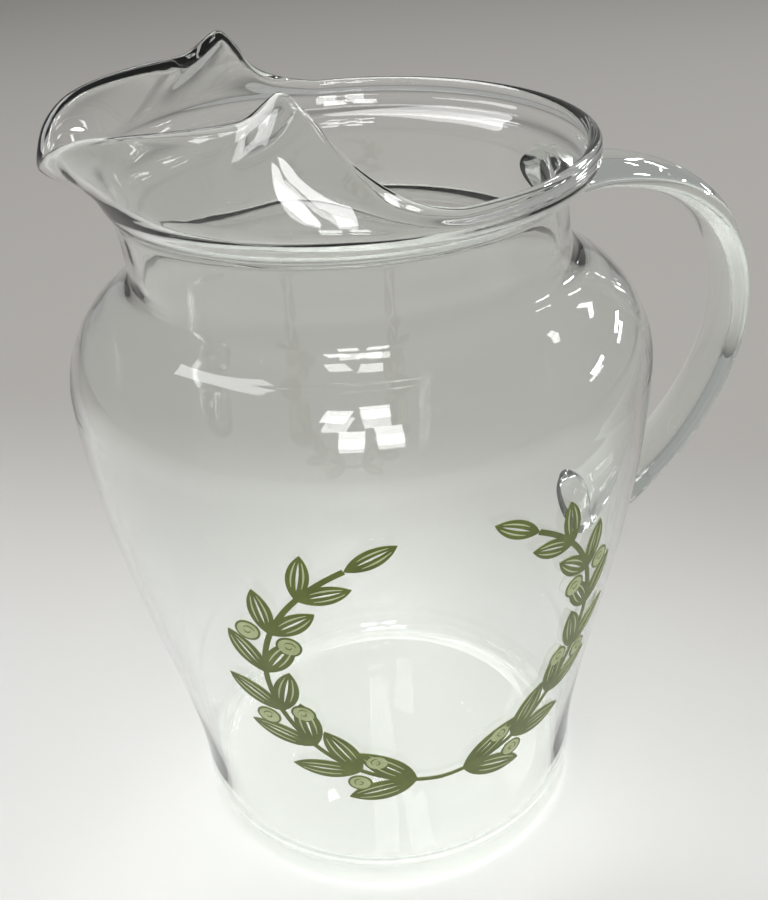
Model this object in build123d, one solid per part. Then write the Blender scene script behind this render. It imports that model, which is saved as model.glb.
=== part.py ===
from build123d import *
import os
from math import cos, pi, radians, sin

# Glass pitcher with an ice lip, an applied strap handle and a fired enamel wreath.
# Millimetres. The origin is on the vessel's axis, at the underside of its base.
# +Z is up, the spout points along -X and the handle along +X.

os.makedirs("parts", exist_ok=True)

# Driving sizes of the body. Swells and climbs say how far a curve keeps to its end's direction.
base_radius = 62.0
heel_height = 16.0
heel_round = 4.0
heel_swell = 34.0
shoulder_radius = 81.3
shoulder_height = 154.0
shoulder_swell = 50.0
shoulder_climb = 13.0
neck_radius = 60.8
neck_height = 182.0
neck_slope = 22.0
neck_slope_length = 12.0
wall = 3.0
inner_neck_drop = 2.7
floor_thickness = 5.0
floor_round = 9.0

# Driving sizes of the neck and of the plain rim behind the lip
waisted_neck_radius = 57.0
rim_foot_height = 204.0
rim_radius = 64.4
rim_height = 213.6
rim_lean = 42.0
rim_roll = 1.9
flare_radius = 62.6
flare_height = 209.6
neck_step = 0.05
waist_pull_out = 1.6
waist_pull_rise = 9.0

# Driving sizes of the pulled lip. Angles go round from the spout, leans rise from level.
tip_reach = 75.5
tip_height = 219.3
ear_angle = 57.0
ear_radius = 44.0
ear_height = 236.6
crease_radius = 67.5
crease_height = 220.0
lip_end_angle = 99.0
lip_roll = 1.7
lip_wall = 2.6
tip_fold_back = 2.6
tip_fold_drop = 3.6
fold_climb = 6.0
fold_reach_share = 0.33
half_round_pull = 4 / 3

# Driving sizes of the handle
strap_width = 18.0
strap_thickness = 9.5
handle_reach = 119.5
handle_top_height = 196.5
handle_crown_radius = 98.0
handle_crown_height = 188.5
handle_side_height = 147.0
handle_turn_radius = 105.0
handle_turn_height = 106.0
handle_foot_height = 84.0
lower_land_radius = 71.0
upper_land_width = 25.0
upper_land_thickness = 12.0
lower_land_width = 24.0
lower_land_thickness = 20.0
land_seat = 1.0
strap_flare = 2.0
strap_thinning = 0.7
strap_thickening = 0.5
strap_heel_swell = 3.5
upper_land_slope = 0.08
lower_land_slope_share = 17 / 44

# Driving sizes of the enamel
enamel_thickness = 0.2
wreath_azimuth = -93.0
wreath_height = 96.0
wreath_radius = 46.0
branch_turn = 23.0
stem_width = 1.6
leaf_length = 21.0
leaf_width = 8.4
leaf_spread = 32.0
leaf_pairs = 7
vein_width = 0.7
berry_radius = 2.9
berry_line = 0.6
berry_offset = 5.6
branch_start = 12.0
branch_sweep = 140.0
stem_overrun = 3.0
body_radius_at_wreath = 74.5
layer_half_turn = 60.0
leaf_taper = 0.35
vein_start_share = 0.22
vein_end_share = 0.86
tip_leaf_length_share = 0.7
tip_leaf_width_share = 0.65
berry_place_share = 0.88


class Station:
    """One place round the lip, with the shape of its wall there as steps from the neck and the plain rim."""

    def __init__(self, angle, foot_out, fold, fold_lean, edge, edge_lean, roll=lip_roll):
        self.angle = angle
        self.values = [
            waisted_neck_radius + foot_out, rim_foot_height,
            rim_radius + fold[0], rim_height + fold[1], fold_lean,
            rim_radius + edge[0], rim_height + edge[1], edge_lean, roll,
        ]


def lip_stations():
    """The shapes of the wall from the spout's tip round to the plain rim."""
    tip = (tip_reach - rim_radius, tip_height - rim_height)
    tip_fold = (tip[0] - tip_fold_back, tip[1] - tip_fold_drop)
    crease = (crease_radius - rim_radius, crease_height - rim_height)
    ear = (ear_radius - rim_radius, ear_height - rim_height)
    flare = (flare_radius - rim_radius, flare_height - rim_height)
    return [
        Station(0, 7.0, tip_fold, 52, tip, 52),
        Station(10, 6.0, (8.8, 4.0), 62, (9.1, 11.0), 88),
        Station(20, 4.5, (7.9, 5.4), 74, (4.2, 15.0), 112),
        Station(35, 2.5, (5.9, 6.9), 86, (-5.9, 16.8), 134),
        Station(47, 1.3, (4.3, 6.9), 90, (-14.4, 17.6), 146),
        Station(ear_angle, 0.6, crease, 90, ear, 144),
        Station(65, 0.2, (2.6, 4.9), 88, (-19.2, 18.4), 148),
        Station(72, 0.0, (2.2, 3.0), 83, (-14.8, 12.8), 150),
        Station(79, 0.0, (1.6, 0.6), 74, (-8.6, 7.8), 140),
        Station(86, 0.0, (0.4, -1.7), 60, (-2.6, 3.6), 106),
        Station(92, 0.0, (-1.0, -3.2), 48, (-0.3, 1.0), 58, rim_roll),
        Station(lip_end_angle, 0.0, flare, rim_lean, (0.0, 0.0), rim_lean, rim_roll),
    ]


def eased(stations, angle):
    """Values between stations, on a curve that never overshoots them."""
    after = next(i for i, s in enumerate(stations) if i and s.angle >= angle)
    before = after - 1
    span = stations[after].angle - stations[before].angle
    t = (angle - stations[before].angle) / span
    result = []
    for k in range(len(stations[0].values)):
        def rise(i):
            if i < 1 or i >= len(stations):
                return 0.0
            change = stations[i].values[k] - stations[i - 1].values[k]
            return change / (stations[i].angle - stations[i - 1].angle)

        def slope(i):
            left, right = rise(i), rise(i + 1)
            return 0.0 if left * right <= 0 else 2 * left * right / (left + right)

        a, b = stations[before].values[k], stations[after].values[k]
        ease = t * t * (3 - 2 * t)
        lead = t * (1 - t) ** 2 * slope(before)
        lag = t * t * (t - 1) * slope(after)
        result.append(a + (b - a) * ease + span * (lead + lag))
    return result


def wall_outlines(values):
    """Radius and height of the curve points of the neck wall: outside, fold, rolled edge, fold, inside."""
    foot_r, foot_z, crease_r, crease_z, crease_lean, edge_r, edge_z, edge_lean, roll = values

    def moved(point, lean, distance):
        return point[0] + cos(radians(lean)) * distance, point[1] + sin(radians(lean)) * distance

    outer_start = (neck_radius - neck_step, neck_height)
    inner_start = (neck_radius - wall + neck_step, neck_height)
    neck_pull = (waisted_neck_radius + waist_pull_out, neck_height + waist_pull_rise)
    crease = (crease_r, crease_z)
    edge = (edge_r, edge_z)
    crease_in = moved(crease, crease_lean + 90, lip_wall)
    edge_out = moved(edge, edge_lean - 90, roll)
    edge_in = moved(edge, edge_lean + 90, roll)
    reach = fold_reach_share * ((edge_out[0] - crease[0]) ** 2 + (edge_out[1] - crease[1]) ** 2) ** 0.5
    climb = fold_climb
    round_pull = roll * half_round_pull
    return [
        [outer_start, neck_pull, (foot_r, foot_z), moved(crease, crease_lean, -climb), crease],
        [crease, moved(crease, crease_lean, reach), moved(edge_out, edge_lean, -reach), edge_out],
        [edge_out, moved(edge_out, edge_lean, round_pull), moved(edge_in, edge_lean, round_pull), edge_in],
        [edge_in, moved(edge_in, edge_lean, -reach), moved(crease_in, crease_lean, reach), crease_in],
        [crease_in, moved(crease_in, crease_lean, -climb), (foot_r - wall, foot_z),
         (neck_pull[0] - wall, neck_pull[1]), inner_start],
    ]


def wall_section(values, angle):
    """The cut face of the neck wall and its rolled edge, in the upright plane at an angle from the spout."""
    def place(point):
        r, z = point
        return Vector(-r * cos(radians(angle)), r * sin(radians(angle)), z)

    outlines = wall_outlines(values)
    edges = [Edge.make_bezier(*[place(p) for p in outline]) for outline in outlines]
    edges.append(Edge.make_line(place(outlines[-1][-1]), place(outlines[0][0])))
    return Face(Wire(edges))


def upright(r, z):
    return Vector(r, 0, z)


def body_outline(inset, start_radius, start_height, end_height):
    """The wall from the heel to the shoulder, and on to the foot of the neck, set inwards by a distance."""
    widest = shoulder_radius - inset
    end_radius = neck_radius - inset
    slope_radius = end_radius + neck_slope_length * cos(radians(neck_slope))
    slope_height = end_height - neck_slope_length * sin(radians(neck_slope))
    low = Edge.make_bezier(
        upright(start_radius, start_height), upright(start_radius, start_height + heel_swell),
        upright(widest, shoulder_height - shoulder_swell), upright(widest, shoulder_height),
    )
    high = Edge.make_bezier(
        upright(widest, shoulder_height), upright(widest, shoulder_height + shoulder_climb),
        upright(slope_radius, slope_height), upright(end_radius, end_height),
    )
    return low, high


def revolved(edges, angle=360):
    return revolve(Face(Wire(edges)), axis=Axis.Z, revolution_arc=angle)


def body_outer():
    """The body as a solid of glass, from its resting face to the foot of the neck."""
    heel_start = upright(base_radius - heel_round, 0)
    heel_end = upright(base_radius, heel_round)
    bend = heel_round * (1 - cos(pi / 4))
    heel_mid = upright(base_radius - bend, bend)
    low, high = body_outline(0, base_radius, heel_height, neck_height)
    edges = [
        Edge.make_line(upright(0, 0), heel_start),
        Edge.make_three_point_arc(heel_start, heel_mid, heel_end),
        Edge.make_line(heel_end, upright(base_radius, heel_height)),
        low,
        high,
        Edge.make_line(upright(neck_radius, neck_height), upright(0, neck_height)),
        Edge.make_line(upright(0, neck_height), upright(0, 0)),
    ]
    return revolved(edges)


def body_hollow():
    """The space inside the body, with a rounded floor."""
    inner = base_radius - wall
    start = floor_thickness + floor_round
    bend = floor_round * (1 - cos(pi / 4))
    low, high = body_outline(wall, inner, start, neck_height - inner_neck_drop)
    top = high @ 1
    edges = [
        Edge.make_line(upright(0, floor_thickness), upright(inner - floor_round, floor_thickness)),
        Edge.make_three_point_arc(upright(inner - floor_round, floor_thickness),
                                  upright(inner - bend, floor_thickness + bend), upright(inner, start)),
        low,
        high,
        Edge.make_line(top, upright(neck_radius - wall, neck_height)),
        Edge.make_line(upright(neck_radius - wall, neck_height), upright(0, neck_height)),
        Edge.make_line(upright(0, neck_height), upright(0, floor_thickness)),
    ]
    return revolved(edges)


def lip_half():
    """Half of the pulled lip, from the spout's tip round to the plain rim."""
    stations = lip_stations()
    angles = [
        0, 5, 10, 15, 20, 28, 35, 41, 47, 52, ear_angle,
        61, 65, 69, 72, 75, 79, 82, 86, 89, 92, 95, lip_end_angle,
    ]
    return loft([wall_section(eased(stations, a), a) for a in angles])


def plain_rim():
    """The round neck and its rolled rim behind the lip."""
    end = lip_stations()[-1]
    return revolve(wall_section(end.values, end.angle), axis=Axis.Z, revolution_arc=-(360 - 2 * end.angle))


def make_vessel():
    lip = lip_half()
    body = body_outer() - body_hollow()
    return body + plain_rim() + lip + lip.mirror(Plane.XZ)


def make_handle():
    """The strap, from inside the neck's wall to inside the body's wall."""
    drop = (handle_turn_height - handle_foot_height) / (handle_turn_radius - lower_land_radius)
    path = Edge.make_spline(
        [upright(waisted_neck_radius - land_seat, handle_top_height),
         upright(handle_crown_radius, handle_crown_height),
         upright(handle_reach, handle_side_height),
         upright(handle_turn_radius, handle_turn_height),
         upright(lower_land_radius, handle_foot_height)],
        tangents=[Vector(1, 0, upper_land_slope), Vector(-1, 0, -drop * lower_land_slope_share)],
    )
    # share of the path, width and thickness there
    stages = [
        (0, upper_land_width, upper_land_thickness),
        (0.1, strap_width + strap_flare, strap_thickness),
        (0.22, strap_width, strap_thickness - strap_thinning),
        (0.36, strap_width, strap_thickness),
        (0.5, strap_width, strap_thickness + strap_thickening),
        (0.64, strap_width, strap_thickness + strap_thickening),
        (0.78, strap_width, strap_thickness + strap_thinning),
        (0.9, strap_width + strap_flare, strap_thickness + strap_heel_swell),
        (1.0, lower_land_width, lower_land_thickness),
    ]
    sections = []
    for share, width, thickness in stages:
        plane = Plane(origin=path @ share, x_dir=(0, 1, 0), z_dir=path % share)
        sections.append(plane * Ellipse(width / 2, thickness / 2))
    return loft([s.face() for s in sections])


def outer_fill():
    """The vessel's outside as one filled round form, without the lip."""
    neck = wall_outlines(lip_stations()[-1].values)[0]
    low, high = body_outline(0, base_radius, heel_height, neck_height)
    top = neck[-1][1]
    edges = [
        Edge.make_line(upright(0, heel_height), upright(base_radius, heel_height)),
        low,
        high,
        Edge.make_line(upright(neck_radius, neck_height), upright(*neck[0])),
        Edge.make_bezier(*[upright(*p) for p in neck]),
        Edge.make_line(upright(*neck[-1]), upright(0, top)),
        Edge.make_line(upright(0, top), upright(0, heel_height)),
    ]
    return revolved(edges)


def enamel_layer():
    """A thin layer lying on the body's outside, as far round as the wreath reaches."""
    inner_low, _ = body_outline(0, base_radius, heel_height, neck_height)
    outer_low, _ = body_outline(-enamel_thickness, base_radius + enamel_thickness, heel_height, neck_height)
    edges = [
        inner_low,
        Edge.make_line(inner_low @ 1, outer_low @ 1),
        outer_low,
        Edge.make_line(outer_low @ 0, inner_low @ 0),
    ]
    turned = Face(Wire(edges)).rotate(Axis.Z, wreath_azimuth - layer_half_turn)
    return revolve(turned, axis=Axis.Z, revolution_arc=2 * layer_half_turn)


def leaf_shape(length, width):
    """A pointed leaf along +X from its stalk, with the bare line of its midrib."""
    def lens(start, end, bulge):
        middle = (start + end) / 2
        lower = Edge.make_three_point_arc((start, 0), (middle, -bulge), (end, 0))
        upper = Edge.make_three_point_arc((end, 0), (middle, bulge), (start, 0))
        return Sketch() + Face(Wire([lower, upper]))

    vein = lens(length * vein_start_share, length * vein_end_share, vein_width / 2)
    return lens(0, length, width / 2) - vein


def branch_places():
    """Angle round the wreath of each pair of leaves, and the share of full size that it has."""
    for i in range(leaf_pairs):
        share = i / leaf_pairs
        yield branch_start + share * branch_sweep, 1 - leaf_taper * share


def on_branch(angle, out=0.0):
    """A point on the branch's circle, seen from outside, measured from the wreath's lowest point."""
    radius = wreath_radius + out
    centre = body_radius_at_wreath * sin(radians(branch_turn))
    return centre - radius * sin(radians(angle)), -radius * cos(radians(angle))


def green_shapes():
    """The stem, the leaves and the outlines of the berries of one branch."""
    end = branch_start + branch_sweep
    arc = Edge.make_three_point_arc(on_branch(stem_overrun), on_branch(end / 2), on_branch(end))
    shapes = trace(arc, stem_width)
    for angle, size in branch_places():
        x, y = on_branch(angle)
        travel = 180 - angle
        for side in (-1, 1):
            leaf = leaf_shape(leaf_length * size, leaf_width * size)
            shapes += Pos(x, y) * Rot(0, 0, travel + side * leaf_spread) * leaf
    x, y = on_branch(end)
    tip_leaf = leaf_shape(leaf_length * tip_leaf_length_share, leaf_width * tip_leaf_width_share)
    shapes += Pos(x, y) * Rot(0, 0, 180 - end) * tip_leaf
    for x, y in berry_places():
        shapes -= Pos(x, y) * Circle(berry_radius + berry_line)
        shapes += Pos(x, y) * (Circle(berry_radius + berry_line) - Circle(berry_radius))
    return shapes


def berry_places():
    """A berry inside and outside the stem, between one pair of leaves and the next."""
    places = list(branch_places())
    for (angle, _), (following, _) in list(zip(places, places[1:]))[::2]:
        for out in (-berry_offset, berry_offset):
            yield on_branch(angle + (following - angle) * berry_place_share, out)


def printed(shapes):
    """Flat shapes of one branch wrapped onto the body, with their mirror image on the other branch."""
    layer = enamel_layer()
    azimuth = radians(wreath_azimuth - branch_turn)
    plane = Plane(origin=(0, 0, wreath_height), x_dir=(-sin(azimuth), cos(azimuth), 0),
                  z_dir=(cos(azimuth), sin(azimuth), 0))
    branch = layer & extrude(plane * shapes, shoulder_radius + 5)
    middle = radians(wreath_azimuth)
    other = branch.mirror(Plane(origin=(0, 0, 0), z_dir=(-sin(middle), cos(middle), 0)))
    return Compound(children=[*branch.solids(), *other.solids()])


def make_green_enamel():
    return printed(green_shapes())


def make_pale_enamel():
    shapes = Sketch()
    for x, y in berry_places():
        shapes += Pos(x, y) * Circle(berry_radius)
    return printed(shapes)


parts = {
    "vessel": make_vessel(),
    "handle": make_handle() - outer_fill(),
    "green_enamel": make_green_enamel(),
    "pale_enamel": make_pale_enamel(),
}
for name, part in parts.items():
    export_step(part, f"parts/{name}.step")
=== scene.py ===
# %% [markdown]
# A clear glass pitcher with a pinched ice lip, an applied strap handle and a fired enamel wreath.
# The construction model gives the solids, and this script loads them as a fixed frame. It draws the glass
# again with a finer surface and gives each piece its looks. The scene is in metres, +Z is up, the spout
# points along -X and the handle along +X.

# %% Load the frame
from math import atan2, cos, degrees, hypot, pi, radians, sin

import bmesh
import bpy
from mathutils import Matrix, Vector


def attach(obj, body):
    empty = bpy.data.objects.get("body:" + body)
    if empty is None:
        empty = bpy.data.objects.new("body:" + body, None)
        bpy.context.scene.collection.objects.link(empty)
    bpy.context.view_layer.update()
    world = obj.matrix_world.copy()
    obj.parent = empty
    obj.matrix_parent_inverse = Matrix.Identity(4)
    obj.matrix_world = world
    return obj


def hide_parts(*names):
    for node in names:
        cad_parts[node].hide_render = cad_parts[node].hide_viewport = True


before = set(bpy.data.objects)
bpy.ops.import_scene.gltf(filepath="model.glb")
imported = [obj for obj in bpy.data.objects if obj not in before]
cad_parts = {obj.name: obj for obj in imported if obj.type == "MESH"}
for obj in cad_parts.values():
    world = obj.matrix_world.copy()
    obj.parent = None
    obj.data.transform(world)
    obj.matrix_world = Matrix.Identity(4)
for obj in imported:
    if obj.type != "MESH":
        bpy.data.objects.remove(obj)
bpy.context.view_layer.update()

MM = 0.001

# %% [markdown]
# The camera looks down over the lip from close by, so the pitcher tapers strongly towards its base.
# A camera can be aimed with a tracking constraint. Here it is turned in three steps instead: round the
# upright, down, and about its own line of sight, which is how a hand-held camera is tilted.

# %% Camera
camera_distance = 298 * MM
camera_height = 301 * MM
camera_side = radians(-105)
camera_heading = radians(-15.9)
camera_pitch = radians(31.2)
camera_roll = radians(3.7)
focal_length = 46.4
sensor_size = 36.0
nearest_seen = 0.01


def add_camera():
    data = bpy.data.cameras.new("camera")
    data.lens = focal_length
    data.sensor_width = sensor_size
    data.clip_start = nearest_seen
    camera = bpy.data.objects.new("camera", data)
    x, y = camera_distance * cos(camera_side), camera_distance * sin(camera_side)
    place = Matrix.Translation((x, y, camera_height))
    turn = Matrix.Rotation(camera_heading, 4, "Z")
    down = Matrix.Rotation(pi / 2 - camera_pitch, 4, "X")
    tilt = Matrix.Rotation(-camera_roll, 4, "Z")
    camera.matrix_world = place @ turn @ down @ tilt
    bpy.context.scene.collection.objects.link(camera)
    bpy.context.scene.camera = camera
    return camera


camera = add_camera()
print("camera at", tuple(round(v, 3) for v in camera.matrix_world.translation))

# %% [markdown]
# Every size of the body is written here once, with the construction model's values. The neck and the lip
# are drawn more sharply than in it, with a level collar that runs all round under the rim.
#
# The lip is one wall whose cut face changes as it goes round from the spout. Each station gives the radius
# of the neck's waist, of the rim's foot and of its collar, and the places of the fold and the rolled edge.
# A few stations are enough, because the values between them are worked out.

# %% Sizes of the glass, in millimetres
base_radius, heel_height, heel_round = 62.0, 16.0, 4.0
heel_swell, shoulder_swell = 34.0, 50.0
shoulder_radius, shoulder_height, shoulder_climb = 81.3, 154.0, 13.0
neck_radius, neck_height = 60.8, 182.0
neck_slope, neck_slope_length = 22.0, 12.0
wall, floor_thickness, floor_round = 3.0, 5.0, 9.0
inner_neck_drop = 2.7
lip_wall = 2.6
waist_height, foot_height, collar_height = 191.0, 202.0, 207.5
lip_end_angle = 99.0
STATIONS = [
    # angle, waist r, foot r, collar r, fold r, fold z, fold lean, edge r, edge z, edge lean, roll
    (0, 60.9, 61.8, 64.2, 67.6, 212.4, 34, 75.5, 219.3, 50, 1.7),
    (10, 60.9, 61.8, 64.3, 67.6, 213.6, 52, 73.5, 224.6, 80, 1.7),
    (20, 60.4, 61.0, 64.4, 67.2, 214.6, 74, 68.6, 228.6, 108, 1.7),
    (35, 59.4, 59.4, 64.4, 66.4, 215.2, 102, 58.5, 230.4, 132, 1.7),
    (47, 58.8, 58.4, 64.3, 66.0, 215.3, 114, 50.0, 231.2, 146, 1.7),
    (57, 58.5, 57.9, 64.2, 65.8, 215.3, 118, 44.0, 236.6, 144, 1.7),
    (65, 58.3, 57.6, 64.1, 65.7, 215.2, 124, 45.2, 232.0, 148, 1.7),
    (72, 58.2, 57.4, 64.0, 65.6, 215.0, 129, 49.6, 226.4, 150, 1.7),
    (79, 58.1, 57.3, 64.0, 65.6, 214.4, 128, 55.8, 221.4, 142, 1.7),
    (86, 58.0, 57.2, 64.0, 65.6, 213.2, 116, 61.2, 217.2, 122, 1.7),
    (92, 58.0, 57.2, 64.0, 65.5, 211.9, 100, 63.2, 214.8, 104, 1.8),
    (99, 58.0, 57.2, 64.0, 65.4, 210.8, 90, 63.5, 213.4, 94, 1.9),
]
print("stations round the lip", len(STATIONS))

# %% [markdown]
# A straight step from one station to the next would show as a kink in the glass, and a free spline would
# swing past the values it should hold. So each value eases from station to station, and where it turns
# back its slope is level.

# %% Ease between stations
def eased(angle):
    """The wall's values at an angle from the spout."""
    angle = min(abs(angle), lip_end_angle)
    after = next(i for i, s in enumerate(STATIONS) if i and s[0] >= angle)
    before = after - 1
    span = STATIONS[after][0] - STATIONS[before][0]
    t = (angle - STATIONS[before][0]) / span
    result = []
    for k in range(1, len(STATIONS[0])):
        def rise(i):
            if i < 1 or i >= len(STATIONS):
                return 0.0
            return (STATIONS[i][k] - STATIONS[i - 1][k]) / (STATIONS[i][0] - STATIONS[i - 1][0])

        def slope(i):
            left, right = rise(i), rise(i + 1)
            return 0.0 if left * right <= 0 else 2 * left * right / (left + right)

        a, b = STATIONS[before][k], STATIONS[after][k]
        result.append(a + (b - a) * t * t * (3 - 2 * t)
                      + span * (t * (1 - t) ** 2 * slope(before) + t * t * (t - 1) * slope(after)))
    return result


print("edge of the lip at 50 degrees", [round(v, 1) for v in eased(50)[6:8]])

# %% [markdown]
# The wall's cut face is a chain of cubic curves: up the outside, round the rolled edge and down the inside.
# Each joint gives a place and a lean, so neighbouring curves meet without a corner. The rolled edge is a
# half round, which a cubic curve comes close to when it pulls four thirds of the radius. The inside keeps
# the wall's thickness from the outside at every joint, so the glass stays even, as a blown wall does.

# %% Curves of the neck wall
neck_foot_lean, waist_lean, foot_lean, collar_lean = 112, 92, 84, 62
curve_reach = 0.36
half_round_pull = 4 / 3


def moved(point, lean, distance):
    """The point a distance away in a direction that leans from level."""
    return point[0] + cos(radians(lean)) * distance, point[1] + sin(radians(lean)) * distance


def wall_outlines(values):
    """Radius and height of the curves of the neck wall: up the outside, round the edge, down the inside."""
    waist_r, foot_r, collar_r, fold_r, fold_z, fold_lean, edge_r, edge_z, edge_lean, roll = values
    # point, lean of the wall there, thickness
    spine = [
        ((neck_radius, neck_height), neck_foot_lean, wall),
        ((waist_r, waist_height), waist_lean, wall),
        ((foot_r, foot_height), foot_lean, wall),
        ((collar_r, collar_height), collar_lean, wall),
        ((fold_r, fold_z), fold_lean, lip_wall),
    ]
    edge = (edge_r, edge_z)
    outside = [(point, lean) for point, lean, _ in spine]
    outside.append((moved(edge, edge_lean - 90, roll), edge_lean))
    inside = [(moved(edge, edge_lean + 90, roll), edge_lean + 180)]
    for point, lean, thick in reversed(spine[1:]):
        inside.append((moved(point, lean + 90, thick), lean + 180))
    inside.append(((neck_radius - wall, neck_height), neck_foot_lean + 180))
    curves = []
    for line in (outside, inside):
        for (start, lean), (end, next_lean) in zip(line, line[1:]):
            reach = curve_reach * hypot(end[0] - start[0], end[1] - start[1])
            curves.append([start, moved(start, lean, reach), moved(end, next_lean, -reach), end])
    pull = roll * half_round_pull
    top, top_lean = outside[-1]
    under, under_lean = inside[0]
    round_edge = [top, moved(top, top_lean, pull), moved(under, under_lean, -pull), under]
    curves.insert(len(outside) - 1, round_edge)
    return curves


def on_curve(points, t):
    """A point on a smooth curve drawn towards its control points."""
    points = [Vector(p) for p in points]
    while len(points) > 1:
        points = [a.lerp(b, t) for a, b in zip(points, points[1:])]
    return points[0]


print("curves in the wall's cut face", len(wall_outlines(eased(0))))

# %% [markdown]
# The body is round, so two cubic curves draw its outline, from the heel to the shoulder and from there to
# the neck. The inside is the same pair of curves set inwards by the wall.

# %% Curves of the body
def body_curves(inset, low_radius, low_height):
    """The wall from the heel to the shoulder and on to the neck, set inwards by a distance."""
    widest = shoulder_radius - inset
    end = (neck_radius - inset, neck_height - (inner_neck_drop if inset > 0 else 0.0))
    slope = (end[0] + neck_slope_length * cos(radians(neck_slope)),
             end[1] - neck_slope_length * sin(radians(neck_slope)))
    low = [(low_radius, low_height), (low_radius, low_height + heel_swell),
           (widest, shoulder_height - shoulder_swell), (widest, shoulder_height)]
    high = [(widest, shoulder_height), (widest, shoulder_height + shoulder_climb), slope, end]
    return low, high


print("widest outside", 2 * shoulder_radius, "mm")

# %% [markdown]
# A blown vessel is a body of revolution, so its wall is drawn once as a line and spun round the axis.
# The lip isn't round. The spun vertices of the neck remember how far along the wall they lie, and each
# is then moved to the place that its own angle's stations give.

# %% Line of the vessel's wall
BODY_STEPS, SHOULDER_STEPS, HEEL_STEPS, FLOOR_STEPS = 40, 18, 6, 8
UNDERSIDE_RINGS, FLOOR_RINGS = (0.0, 20.0, 40.0), (32.0, 16.0, 0.0)
ROUND_ONLY = -1
NECK_STEPS = (10, 10, 12, 10, 16, 12, 16, 10, 12, 10, 10)
TURN_STEPS = 240


def vessel_line():
    """Points of the cut wall, from the centre of the underside round to the centre of the floor.

    The third value says how far along the neck's curves a point lies, or that it stays round."""
    points = [(r, 0.0, ROUND_ONLY) for r in (*UNDERSIDE_RINGS, base_radius - heel_round)]
    for i in range(1, HEEL_STEPS + 1):
        a = pi / 2 * i / HEEL_STEPS
        points.append((base_radius - heel_round + heel_round * sin(a),
                       heel_round - heel_round * cos(a), ROUND_ONLY))
    low, high = body_curves(0.0, base_radius, heel_height)
    points += [(*on_curve(low, i / BODY_STEPS), ROUND_ONLY) for i in range(BODY_STEPS + 1)]
    points += [(*on_curve(high, i / SHOULDER_STEPS), ROUND_ONLY) for i in range(1, SHOULDER_STEPS)]
    for k, (outline, steps) in enumerate(zip(wall_outlines(eased(lip_end_angle)), NECK_STEPS)):
        points += [(*on_curve(outline, i / steps), k + i / steps) for i in range(steps)]
    points.append((neck_radius - wall, neck_height, ROUND_ONLY))
    inner = base_radius - wall
    low, high = body_curves(wall, inner, floor_thickness + floor_round)
    points += [(*on_curve(high, i / SHOULDER_STEPS), ROUND_ONLY) for i in range(SHOULDER_STEPS, 0, -1)]
    points += [(*on_curve(low, i / BODY_STEPS), ROUND_ONLY) for i in range(BODY_STEPS, -1, -1)]
    for i in range(1, FLOOR_STEPS + 1):
        a = pi / 2 * i / FLOOR_STEPS
        points.append((inner - floor_round + floor_round * cos(a),
                       floor_thickness + floor_round - floor_round * sin(a), ROUND_ONLY))
    points += [(r, floor_thickness, ROUND_ONLY) for r in FLOOR_RINGS]
    return points


print("points on the wall's line", len(vessel_line()))

# %% [markdown]
# Glass shows at once when its faces point inwards, because it then bends light the wrong way. So each mesh
# has its faces turned the same way, and if its volume comes out negative they are all turned round. An edge
# without two faces is counted as open, which only the floor's flat sheet should have.

# %% Finish a mesh as a piece
MILLILITRES = 1e6


def new_piece(name, bm, material):
    """Turns the faces outwards, makes the object and prints its counts."""
    bmesh.ops.recalc_face_normals(bm, faces=bm.faces)
    if bm.calc_volume(signed=True) < 0:
        bmesh.ops.reverse_faces(bm, faces=bm.faces)
    for face in bm.faces:
        face.smooth = True
    open_edges = sum(1 for e in bm.edges if len(e.link_faces) != 2)
    volume = round(bm.calc_volume(signed=True) * MILLILITRES, 2)
    print(name, "faces", len(bm.faces), "open edges", open_edges, "volume", volume, "ml")
    mesh = bpy.data.meshes.new(name)
    bm.to_mesh(mesh)
    bm.free()
    piece = bpy.data.objects.new(name, mesh)
    bpy.context.scene.collection.objects.link(piece)
    mesh.materials.append(material)
    return piece


print("meshes loaded with the frame", len(bpy.data.meshes))

# %% [markdown]
# The line is spun once round, and each vertex of the neck goes to the place that its own angle gives. The
# foot of the neck would still be a corner, so the rings near it are smoothed a few times, closer and closer
# in, which rounds it as the flame does. A bevel would leave bands of its own width.

# %% Spin the vessel
crease_reach, crease_shares, crease_rounds = 4.0, (1.0, 0.7, 0.4), 6
merge_distance = 0.00001
share_slack = 0.0001


def make_vessel(material):
    bm = bmesh.new()
    share = bm.verts.layers.float.new("share")
    before = None
    for r, z, s in vessel_line():
        vert = bm.verts.new((-r * MM, 0, z * MM))
        vert[share] = s
        if before:
            bm.edges.new((before, vert))
        before = vert
    bmesh.ops.spin(bm, geom=bm.verts[:] + bm.edges[:], axis=(0, 0, 1), cent=(0, 0, 0), angle=2 * pi,
                   steps=TURN_STEPS, use_merge=True)
    bmesh.ops.remove_doubles(bm, verts=bm.verts, dist=merge_distance)
    walls = {}
    for vert in bm.verts:
        if vert[share] < 0:
            continue
        turn = atan2(vert.co.y, -vert.co.x)
        angle = round(abs(degrees(turn)), 2)
        if angle > lip_end_angle:
            continue
        if angle not in walls:
            walls[angle] = wall_outlines(eased(angle))
        part = min(int(vert[share] + share_slack), len(NECK_STEPS) - 1)
        r, z = on_curve(walls[angle][part], vert[share] - part)
        vert.co = Vector((-r * cos(turn), r * sin(turn), z)) * MM
    soften_crease(bm)
    return new_piece("vessel_glass", bm, material)


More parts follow.
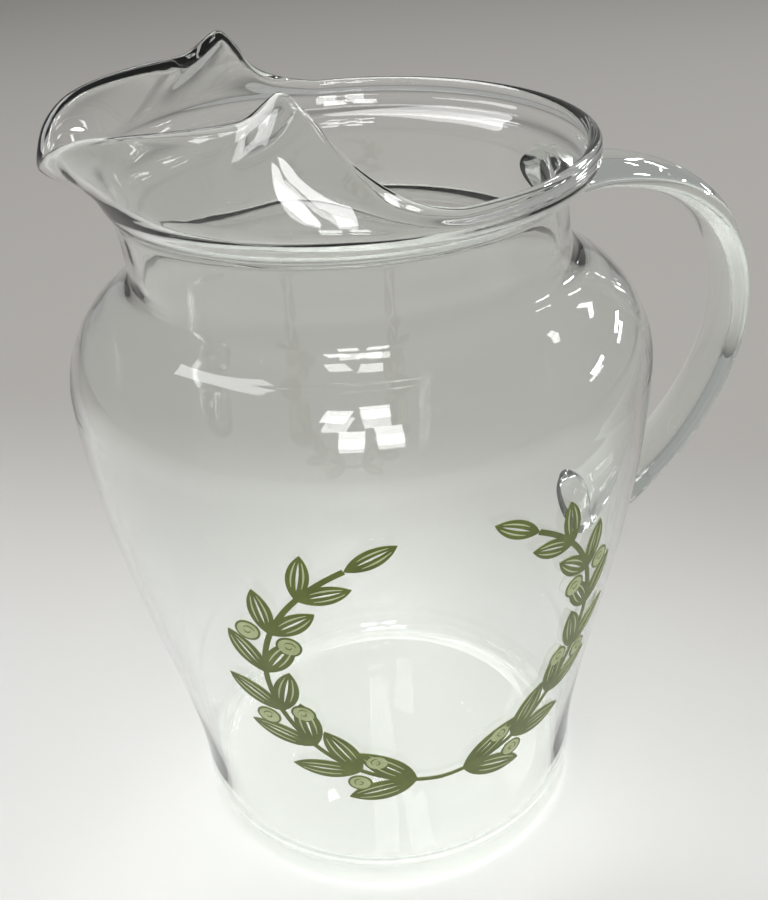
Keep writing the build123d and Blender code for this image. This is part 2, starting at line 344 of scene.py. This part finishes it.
def soften_crease(bm):
    """Rounds the foot of the neck, inside and out, as flame polish does."""
    for height in (neck_height, neck_height - inner_neck_drop):
        for part in crease_shares:
            near = crease_reach * part
            ring = [v for v in bm.verts if abs(v.co.z / MM - height) < near]
            for _ in range(crease_rounds):
                bmesh.ops.smooth_vert(bm, verts=ring, factor=0.5,
                                      use_axis_x=True, use_axis_y=True, use_axis_z=True)


print("steps round the axis", TURN_STEPS, "and along each curve of the neck", NECK_STEPS)

# %% [markdown]
# The handle is a strap of hot glass, pressed onto the neck and let down onto the body. It is made from
# rings set square to its path and bridged one to the next. Its two ends lie just under the skin of the
# vessel, so that light passes from one glass to the other as it does where they have fused. The path is
# two cubic curves that meet at the grip, close to the construction model's own but not the same.

# %% Path and sizes of the handle
HANDLE_TOP = [(57.0, 196.5), (94.0, 199.5), (119.5, 181.0), (119.5, 147.0)]
HANDLE_FOOT = [(119.5, 147.0), (119.5, 121.0), (95.0, 89.0), (72.0, 84.0)]
HANDLE_SIZES = [
    # share of the path, width, depth
    (0.0, 25.0, 12.0), (0.08, 20.5, 9.6), (0.2, 18.0, 8.8), (0.4, 18.0, 9.5),
    (0.65, 18.0, 10.0), (0.85, 19.0, 10.8), (0.93, 21.0, 13.5), (1.0, 25.0, 19.0),
]


def handle_point(t):
    """A point of the handle's middle line, as radius and height."""
    return on_curve(HANDLE_TOP, t * 2) if t < 0.5 else on_curve(HANDLE_FOOT, t * 2 - 1)


def handle_size(t):
    """Width and depth of the strap, eased between the places that the table gives."""
    for (t0, w0, d0), (t1, w1, d1) in zip(HANDLE_SIZES, HANDLE_SIZES[1:]):
        if t <= t1:
            u = (t - t0) / (t1 - t0)
            u = u * u * (3 - 2 * u)
            return w0 + (w1 - w0) * u, d0 + (d1 - d0) * u
    return HANDLE_SIZES[-1][1:]


print("middle line of the handle reaches", handle_point(0.5).x, "mm")

# %% [markdown]
# The ends of the handle follow the vessel's outside, so its radius is needed at any height. It is read
# from a list of points along the outline, by going straight from one point to the next.

# %% Outside of the vessel
OUTLINE_STEPS = 30
CURVES_TO_COLLAR = 3


def outer_line():
    """Radius and height of the round outside, from the heel up to the collar."""
    low, high = body_curves(0.0, base_radius, heel_height)
    curves = [low, high, *wall_outlines(eased(lip_end_angle))[:CURVES_TO_COLLAR]]
    return [on_curve(curve, i / OUTLINE_STEPS) for curve in curves for i in range(OUTLINE_STEPS + 1)]


OUTER = outer_line()


def wall_radius(z):
    """Radius of the round outside at a height."""
    for a, b in zip(OUTER, OUTER[1:]):
        if a.y <= z <= b.y and b.y > a.y:
            return a.x + (b.x - a.x) * (z - a.y) / (b.y - a.y)
    return OUTER[0].x if z < OUTER[0].y else OUTER[-1].x


print("outside at the foot of the handle", round(wall_radius(HANDLE_FOOT[-1][1]), 1), "mm")

# %% [markdown]
# Each ring is a circle, stretched to the strap's width and depth and turned square to the path by one
# matrix. Bridging the rings gives the skin. Smaller rings close the ends, and all of the end rings are
# moved onto the vessel's curve, because a flat end would cut into the round wall or stand off it.

# %% Build the handle
HANDLE_RINGS, HANDLE_SIDES = 90, 56
CAP_RINGS = (0.04, 0.3, 0.55, 0.8)
skin_depth = 0.5
look_aside = 0.004


def make_handle(material):
    bm = bmesh.new()
    places = [(0.0, k, True) for k in CAP_RINGS] + [(0.0, 1.0, True)]
    places += [(i / HANDLE_RINGS, 1.0, False) for i in range(1, HANDLE_RINGS)]
    places += [(1.0, 1.0, True)] + [(1.0, k, True) for k in reversed(CAP_RINGS)]
    before = None
    for t, scale, seated in places:
        ahead, behind = handle_point(min(t + look_aside, 1.0)), handle_point(max(t - look_aside, 0.0))
        run = Vector((ahead.x - behind.x, 0, ahead.y - behind.y)).normalized()
        side = Vector((0, 1, 0))
        up = run.cross(side)
        width, depth = handle_size(t)
        centre = handle_point(t)
        place = Matrix((side * width / 2, up * depth / 2, run)).transposed().to_4x4()
        place.translation = Vector((centre.x, 0, centre.y))
        made = bmesh.ops.create_circle(bm, segments=HANDLE_SIDES, radius=scale, cap_ends=False, matrix=place)
        ring = made["verts"]
        if seated:
            for v in ring:
                r = wall_radius(v.co.z) - skin_depth
                v.co.x = (r * r - v.co.y ** 2) ** 0.5
        edges = list({e for v in ring for e in v.link_edges})
        if before:
            bmesh.ops.bridge_loops(bm, edges=before + edges)
        before = edges
    ends = [e for e in bm.edges if len(e.link_faces) == 1]
    bmesh.ops.holes_fill(bm, edges=ends, sides=0)
    bmesh.ops.scale(bm, vec=(MM, MM, MM), verts=bm.verts)
    return new_piece("handle_glass", bm, material)


print("rings along the handle", HANDLE_RINGS, "with", len(CAP_RINGS), "more on each end")

# %% [markdown]
# Glass bends light at its skin and swallows a little inside, most of all where the light runs along the
# wall, which is why the edges look grey-green. A colour on the surface alone would tint the thin wall as
# much as the thick heel. A true shadow of glass needs many more samples, so shadow rays meet a nearly
# clear surface instead.

# %% Glass
skin_colour = (0.985, 0.993, 0.986, 1)
shadow_colour = (0.945, 0.95, 0.945, 1)
depth_colour, depth_density = (0.5, 0.66, 0.52, 1), 7.0
glass_bend = 1.5


def glass_material(name):
    mat = bpy.data.materials.new(name)
    mat.use_nodes = True
    nodes, links = mat.node_tree.nodes, mat.node_tree.links
    glass = nodes["Principled BSDF"]
    glass.inputs["Base Color"].default_value = skin_colour
    glass.inputs["Roughness"].default_value = 0.0
    glass.inputs["IOR"].default_value = glass_bend
    glass.inputs["Transmission Weight"].default_value = 1.0
    path = nodes.new("ShaderNodeLightPath")
    clear = nodes.new("ShaderNodeBsdfTransparent")
    clear.inputs["Color"].default_value = shadow_colour
    mix = nodes.new("ShaderNodeMixShader")
    links.new(path.outputs["Is Shadow Ray"], mix.inputs[0])
    links.new(glass.outputs[0], mix.inputs[1])
    links.new(clear.outputs[0], mix.inputs[2])
    links.new(mix.outputs[0], nodes["Material Output"].inputs["Surface"])
    tint = nodes.new("ShaderNodeVolumeAbsorption")
    tint.inputs["Color"].default_value = depth_colour
    tint.inputs["Density"].default_value = depth_density
    links.new(tint.outputs[0], nodes["Material Output"].inputs["Volume"])
    return mat


vessel_glass, handle_glass = glass_material("vessel_glass"), glass_material("handle_glass")
print("materials", vessel_glass.name, handle_glass.name)

# %% [markdown]
# The vessel and the handle are two gathers of glass, so each is a piece with a material of its own, made
# to the same recipe. Both ride on the part's one body and take the place of the construction model's nodes.

# %% Glass pieces
vessel = make_vessel(vessel_glass)
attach(vessel, "root")
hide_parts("vessel")

handle = make_handle(handle_glass)
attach(handle, "root")
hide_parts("handle")
print("glass pieces", vessel.name, handle.name)

# %% [markdown]
# The wreath is enamel: ground glass and pigment, screen printed and fired on. Fired enamel isn't one flat
# colour, since it is thinner where the screen left less and a little grainy. Both colours and the line
# work share that look, so it is one node group with its own colours in each material.

# %% Fired enamel
# a Mix node's colour sockets come after its number and vector sockets
COLOUR_A, COLOUR_B, COLOUR_OUT = 6, 7, 2
cloud_scale, noise_detail, grain_weight = 160, 4, 0.4


def fired_group():
    group = bpy.data.node_groups.new("fired_enamel", "ShaderNodeTree")
    colour, number = "NodeSocketColor", "NodeSocketFloat"
    for name, kind in (("Thick", colour), ("Thin", colour), ("Grain", number)):
        group.interface.new_socket(name, in_out="INPUT", socket_type=kind)
    for name, kind in (("Color", colour), ("Roughness", number), ("Height", number)):
        group.interface.new_socket(name, in_out="OUTPUT", socket_type=kind)
    nodes, links = group.nodes, group.links
    given, out = nodes.new("NodeGroupInput"), nodes.new("NodeGroupOutput")
    where = nodes.new("ShaderNodeTexCoord")
    cloud, grain = nodes.new("ShaderNodeTexNoise"), nodes.new("ShaderNodeTexNoise")
    cloud.inputs["Scale"].default_value = cloud_scale
    for noise in (cloud, grain):
        links.new(where.outputs["Object"], noise.inputs["Vector"])
        noise.inputs["Detail"].default_value = noise_detail
    links.new(given.outputs["Grain"], grain.inputs["Scale"])
    both = nodes.new("ShaderNodeMath")
    both.operation = "MULTIPLY_ADD"
    both.inputs[1].default_value = grain_weight
    links.new(grain.outputs["Fac"], both.inputs[0])
    links.new(cloud.outputs["Fac"], both.inputs[2])
    spread = nodes.new("ShaderNodeMapRange")
    spread.inputs["From Min"].default_value = 0.45
    spread.inputs["From Max"].default_value = 0.95
    links.new(both.outputs[0], spread.inputs["Value"])
    shade = nodes.new("ShaderNodeMix")
    shade.data_type = "RGBA"
    links.new(spread.outputs["Result"], shade.inputs[0])
    links.new(given.outputs["Thick"], shade.inputs[COLOUR_A])
    links.new(given.outputs["Thin"], shade.inputs[COLOUR_B])
    gloss = nodes.new("ShaderNodeMapRange")
    gloss.inputs["To Min"].default_value = 0.22
    gloss.inputs["To Max"].default_value = 0.5
    links.new(grain.outputs["Fac"], gloss.inputs["Value"])
    links.new(shade.outputs[COLOUR_OUT], out.inputs["Color"])
    links.new(gloss.outputs["Result"], out.inputs["Roughness"])
    links.new(grain.outputs["Fac"], out.inputs["Height"])
    return group


FIRED = fired_group()
print("group sockets", [item.name for item in FIRED.interface.items_tree])

# %% [markdown]
# Each colour of enamel is its own material, and the group drives its colour, its gloss and a very low
# bump. The CAD's enamel meshes have the right shape and stay, and only their finish changes.

# %% Enamel colours
def enamel_material(name, thick, thin, grain):
    mat = bpy.data.materials.new(name)
    mat.use_nodes = True
    nodes, links = mat.node_tree.nodes, mat.node_tree.links
    shader = nodes["Principled BSDF"]
    fired = nodes.new("ShaderNodeGroup")
    fired.node_tree = FIRED
    fired.inputs["Thick"].default_value = (*thick, 1)
    fired.inputs["Thin"].default_value = (*thin, 1)
    fired.inputs["Grain"].default_value = grain
    bump = nodes.new("ShaderNodeBump")
    bump.inputs["Strength"].default_value = 0.25
    bump.inputs["Distance"].default_value = 0.05 * MM
    links.new(fired.outputs["Color"], shader.inputs["Base Color"])
    links.new(fired.outputs["Roughness"], shader.inputs["Roughness"])
    links.new(fired.outputs["Height"], bump.inputs["Height"])
    links.new(bump.outputs["Normal"], shader.inputs["Normal"])
    print("material", name)
    return mat


green = enamel_material("leaf_green_enamel", (0.075, 0.1, 0.008), (0.13, 0.165, 0.022), 2200)
pale = enamel_material("berry_pale_enamel", (0.36, 0.42, 0.19), (0.5, 0.55, 0.3), 2200)
line_green = enamel_material("line_green_enamel", (0.12, 0.15, 0.025), (0.17, 0.2, 0.05), 1800)
line_pale = enamel_material("line_pale_enamel", (0.42, 0.47, 0.25), (0.55, 0.6, 0.38), 1800)
for name, mat in (("green_enamel", green), ("pale_enamel", pale)):
    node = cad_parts[name]
    node.data.materials.clear()
    node.data.materials.append(mat)

# %% [markdown]
# The line work is a second printing on top of the first: pale lines along each leaf and fine green marks
# on each berry. Every line starts as a flat grid, is bent to its curve on the wreath's flat drawing, and is
# then wrapped onto the glass in the same way as the wreath itself. Solidify gives it the ink's thickness.

# %% The wreath's flat drawing
wreath_azimuth, branch_turn = radians(-93), radians(23)
wreath_height, wreath_radius, body_radius_at_wreath = 96.0, 46.0, 74.5
leaf_length, leaf_width, leaf_spread, leaf_pairs = 21.0, 8.4, 32.0, 7
branch_start, branch_sweep = 12.0, 140.0
berry_offset = 5.6
leaf_taper, tip_leaf_length, tip_leaf_width = 0.35, 0.7, 0.65
berry_places, berry_share = (0, 2, 4), 0.88


def on_branch(angle, out=0.0):
    """A spot on the branch's circle, at an angle from the wreath's lowest spot."""
    radius = wreath_radius + out
    return Vector((body_radius_at_wreath * sin(branch_turn) - radius * sin(radians(angle)),
                   -radius * cos(radians(angle))))


def leaves():
    """Foot, direction and size of every leaf of a branch, in its flat drawing."""
    for i in range(leaf_pairs):
        share = i / leaf_pairs
        angle = branch_start + share * branch_sweep
        for side in (-1, 1):
            turn = radians(180 - angle + side * leaf_spread)
            size = 1 - leaf_taper * share
            yield on_branch(angle), turn, leaf_length * size, leaf_width * size
    end = branch_start + branch_sweep
    yield on_branch(end), radians(180 - end), leaf_length * tip_leaf_length, leaf_width * tip_leaf_width


def berries():
    """Middle and direction of every berry of a branch."""
    for i in berry_places:
        angle = branch_start + branch_sweep * (i + berry_share) / leaf_pairs
        for out in (-berry_offset, berry_offset):
            yield on_branch(angle, out), radians(180 - angle)


print("leaves", len(list(leaves())), "berries", len(list(berries())), "on each branch")

# %% [markdown]
# A spot of the drawing goes straight inwards onto the round glass, as if the drawing stood flat before it.
# Each branch has its own such plane, turned to its side, so that its far leaves are stretched less. A
# shrinkwrap modifier could do it too, but the list of points along the outline is enough.

# %% Wrap the drawing and draw a line
enamel_thickness, ink_foot = 0.2, 0.03
line_steps = 16
line_end_share = 0.25
step_ahead = 0.01
grid_half = 0.5


def wrap(spot, lift, other):
    """A spot of the flat drawing on the glass, on the drawn branch or on its mirror image."""
    azimuth = wreath_azimuth - branch_turn
    r = wall_radius(wreath_height + spot.y) + lift
    out = (r * r - spot.x ** 2) ** 0.5
    turn = azimuth + atan2(spot.x, out)
    if other:
        turn = 2 * wreath_azimuth - turn
    return Vector((r * cos(turn), r * sin(turn), wreath_height + spot.y)) * MM


def ink_line(bm, path, width, other):
    """One printed line that tapers to both ends."""
    made = bmesh.ops.create_grid(bm, x_segments=line_steps, y_segments=1, size=grid_half)
    for vert in made["verts"]:
        t, side = vert.co.x + grid_half, vert.co.y / grid_half
        here, ahead = path(t), path(t + step_ahead)
        across = (ahead - here).normalized().orthogonal()
        half = width / 2 * (line_end_share + (1 - line_end_share) * sin(pi * min(max(t, 0), 1)))
        vert.co = wrap(here + across * side * half, enamel_thickness - ink_foot, other)


print("first leaf's foot on the glass", tuple(round(v, 4) for v in wrap(next(leaves())[0], 0.0, False)))

# %% [markdown]
# The lines of a leaf run beside its midrib and follow its outline. A berry has one wide curved mark and a
# smaller one round its middle. The paths are small functions, so each line is drawn by the same code.

# %% Paths of the lines
leaf_line_share, leaf_line_start, leaf_line_end = 0.52, 0.3, 0.86
mark_curl = 0.25


def leaf_line(foot, turn, length, width, share):
    """A line that follows the leaf's outline at a share of its half width."""
    def path(t):
        u = leaf_line_start + (leaf_line_end - leaf_line_start) * t
        along, off = u * length, share * width / 2 * (1 - (2 * u - 1) ** 2)
        return foot + Vector((along * cos(turn) - off * sin(turn), along * sin(turn) + off * cos(turn)))
    return path


def berry_mark(middle, turn, radius, start, sweep):
    """A mark that curls in a little as it goes round the berry."""
    def path(t):
        a = turn + start + sweep * t
        return middle + Vector((cos(a), sin(a))) * radius * (1 - mark_curl * t)
    return path


first_line = leaf_line(*next(leaves()), leaf_line_share)
print("first leaf's line starts at", tuple(round(v, 1) for v in first_line(0)), "of the flat drawing")

# %% [markdown]
# The flat lines of both branches go into one mesh for each colour. Their faces are turned outwards first,
# since solidify thickens along the face's own direction.

# %% Print the lines
ink = 0.1
leaf_line_width, berry_line_width = 0.5, 0.4
BERRY_MARKS = [
    # radius, start, sweep in radians
    (1.9, -1.2, 2.4),
    (0.9, 1.6, 3.6),
]


def print_lines(name, mat, draw):
    bm = bmesh.new()
    for other in (False, True):
        draw(bm, other)
    bmesh.ops.recalc_face_normals(bm, faces=bm.faces)
    for face in bm.faces:
        middle = face.calc_center_median()
        if face.normal.dot(Vector((middle.x, middle.y, 0))) < 0:
            face.normal_flip()
    bmesh.ops.solidify(bm, geom=bm.faces[:], thickness=-ink * MM)
    piece = new_piece(name, bm, mat)
    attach(piece, "root")
    return piece


def leaf_lines(bm, other):
    for foot, turn, length, width in leaves():
        for share in (-leaf_line_share, leaf_line_share):
            ink_line(bm, leaf_line(foot, turn, length, width, share), leaf_line_width, other)


def berry_lines(bm, other):
    for middle, turn in berries():
        for radius, start, sweep in BERRY_MARKS:
            ink_line(bm, berry_mark(middle, turn, radius, start, sweep), berry_line_width, other)


leaf_print = print_lines("leaf_lines", line_pale, leaf_lines)
berry_print = print_lines("berry_lines", line_green, berry_lines)

# %% [markdown]
# The floor is a pale sheet. Its colour is white near the pitcher and greyer behind: painted shade, as a
# sheet lit from one side would show, so that the clear rim stands out against it. The foot is pressed into
# it by a hair.
# Two surfaces in one plane would leave it to chance which of them a ray meets first, and a gap of air under
# the foot would act as a mirror and turn the heel dark.

# %% Floor
floor_rise = 0.05
floor_size = 2.5
# near_white and far_grey are the two ends of the floor's painted shade
near_white, far_grey = (0.54, 0.537, 0.527), (0.31, 0.3, 0.285)
fade_start, fade_end, fade_turn = -30.0, 240.0, 32.0


def painted_shade_floor():
    # a floor whose colour carries painted shade, from white near the pitcher to grey behind
    mat = bpy.data.materials.new("floor_sheet")
    mat.use_nodes = True
    nodes, links = mat.node_tree.nodes, mat.node_tree.links
    shader = nodes["Principled BSDF"]
    shader.inputs["Roughness"].default_value = 0.9
    shader.inputs["Specular IOR Level"].default_value = 0.2
    where = nodes.new("ShaderNodeTexCoord")
    turned = nodes.new("ShaderNodeMapping")
    turned.inputs["Rotation"].default_value = (0, 0, radians(fade_turn))
    links.new(where.outputs["Object"], turned.inputs["Vector"])
    axes = nodes.new("ShaderNodeSeparateXYZ")
    links.new(turned.outputs["Vector"], axes.inputs["Vector"])
    # painted shade: the colour greys with distance behind the pitcher, in place of the lamps' fall-off
    fade = nodes.new("ShaderNodeMapRange")
    fade.interpolation_type = "SMOOTHSTEP"
    fade.inputs["From Min"].default_value = fade_start * MM
    fade.inputs["From Max"].default_value = fade_end * MM
    links.new(axes.outputs["Y"], fade.inputs["Value"])
    shade = nodes.new("ShaderNodeMix")
    shade.data_type = "RGBA"
    shade.inputs[COLOUR_A].default_value = (*near_white, 1)
    shade.inputs[COLOUR_B].default_value = (*far_grey, 1)
    links.new(fade.outputs["Result"], shade.inputs[0])
    links.new(shade.outputs[COLOUR_OUT], shader.inputs["Base Color"])
    return mat


def make_floor():
    bm = bmesh.new()
    bmesh.ops.create_grid(bm, x_segments=2, y_segments=2, size=floor_size)
    bmesh.ops.translate(bm, vec=(0, 0, floor_rise * MM), verts=bm.verts)
    piece = new_piece("floor", bm, painted_shade_floor())


make_floor()

# %% [markdown]
# Clear glass is seen by what it reflects and bends. One large soft lamp stands high behind the pitcher and
# lights the rims, and four small panes in front draw a window on the shoulder. Narrow strips at the right
# draw the short bright strokes beside it. All of them light the floor too, so their powers are set by both.

# %% Lamps
def area_light(name, place, target, width, height, power):
    """A flat rectangular lamp that faces its target."""
    data = bpy.data.lights.new(name, "AREA")
    data.shape = "RECTANGLE"
    data.size, data.size_y, data.energy = width, height, power
    lamp = bpy.data.objects.new(name, data)
    lamp.location = place
    lamp.rotation_euler = (Vector(target) - Vector(place)).to_track_quat("-Z", "Y").to_euler()
    bpy.context.scene.collection.objects.link(lamp)


shoulder_point = (0, -0.06, 0.17)
pane_x, pane_y, pane_z = -0.3, -1.0, 1.4
pane_aside, pane_back, pane_up = 0.18, 0.22, 0.26
STRIP_PLACES = [(1.12, 0.46, 1.24), (1.25, 0.74, 0.89), (1.54, 0.54, 0.5), (1.62, -0.13, 0.6)]

area_light("back_softbox", (-0.25, 0.75, 1.6), (0, 0, 0.1), width=1.2, height=0.8, power=18)
for column in (-1, 1):
    for row in (-1, 1):
        place = (pane_x + column * pane_aside, pane_y + row * pane_back, pane_z + row * pane_up)
        area_light("window_pane", place, shoulder_point, width=0.24, height=0.42, power=4.0)
for place in STRIP_PLACES:
    area_light("strip", place, shoulder_point, width=0.3, height=0.07, power=2.2)

# %% [markdown]
# The world is a plain mid grey, so that the glass has something even to reflect on every side. The view
# stays Standard, which shows a colour as it is written. Light crosses many skins of glass on its way
# through a pitcher, so its paths are allowed more bounces than by default.

# %% World and view
path_bounces = 32
world = bpy.data.worlds.new("world")
world.use_nodes = True
background = world.node_tree.nodes["Background"]
background.inputs["Color"].default_value = (0.5, 0.5, 0.49, 1)
background.inputs["Strength"].default_value = 0.7
bpy.context.scene.world = world
bpy.context.scene.view_settings.view_transform = "Standard"
bpy.context.scene.cycles.max_bounces = path_bounces
bpy.context.scene.cycles.transmission_bounces = path_bounces
print("world", world.name, "with", path_bounces, "bounces")
